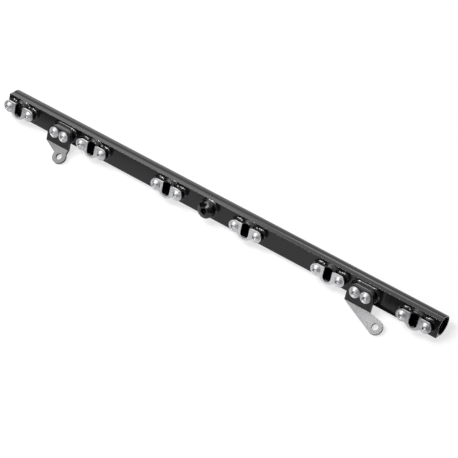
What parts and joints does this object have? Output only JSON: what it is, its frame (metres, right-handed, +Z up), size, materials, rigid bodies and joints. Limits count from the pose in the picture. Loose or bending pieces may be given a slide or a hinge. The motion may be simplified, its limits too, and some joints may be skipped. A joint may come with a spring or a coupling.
{
  "type": "fuel rail",
  "caption": "Straight machined fuel rail with a row of injector ports held by spring clips, two angled bolt-on brackets, a plugged centre port and a threaded port in each end.",
  "frame": {"origin": "on the axis of the fuel gallery, midway along the row of injector ports", "axes": "+X along the rail, towards the bracket with the long foot; -Y out of the injector ports; +Z up, away from the bracket feet"},
  "size_m": [0.525, 0.0424, 0.0375],
  "materials": {
    "black_anodised": "black anodised, satin",
    "black_bracket": "black anodised, satin",
    "black_plug": "black anodised, bright",
    "stainless_sheet": "stainless, rolled",
    "stainless_screw": "stainless, polished",
    "seal_rubber": "matt"
  },
  "bodies": {
    "root": {"rail_body": "black_anodised", "injector_clip_1": "stainless_sheet", "clip_screw_1_left": "stainless_screw", "clip_screw_1_right": "stainless_screw", "injector_clip_2": "stainless_sheet", "clip_screw_2_left": "stainless_screw", "clip_screw_2_right": "stainless_screw", "injector_clip_3": "stainless_sheet", "clip_screw_3_left": "stainless_screw", "clip_screw_3_right": "stainless_screw", "injector_clip_4": "stainless_sheet", "clip_screw_4_left": "stainless_screw", "clip_screw_4_right": "stainless_screw", "injector_clip_5": "stainless_sheet", "clip_screw_5_left": "stainless_screw", "clip_screw_5_right": "stainless_screw", "injector_clip_6": "stainless_sheet", "clip_screw_6_left": "stainless_screw", "clip_screw_6_right": "stainless_screw", "bracket_left": "black_bracket", "bracket_screw_left_a": "stainless_screw", "bracket_screw_left_b": "stainless_screw", "bracket_right": "black_bracket", "bracket_screw_right_a": "stainless_screw", "bracket_screw_right_b": "stainless_screw", "port_plug": "black_plug", "plug_seal": "seal_rubber"}
  },
  "joints": []
}
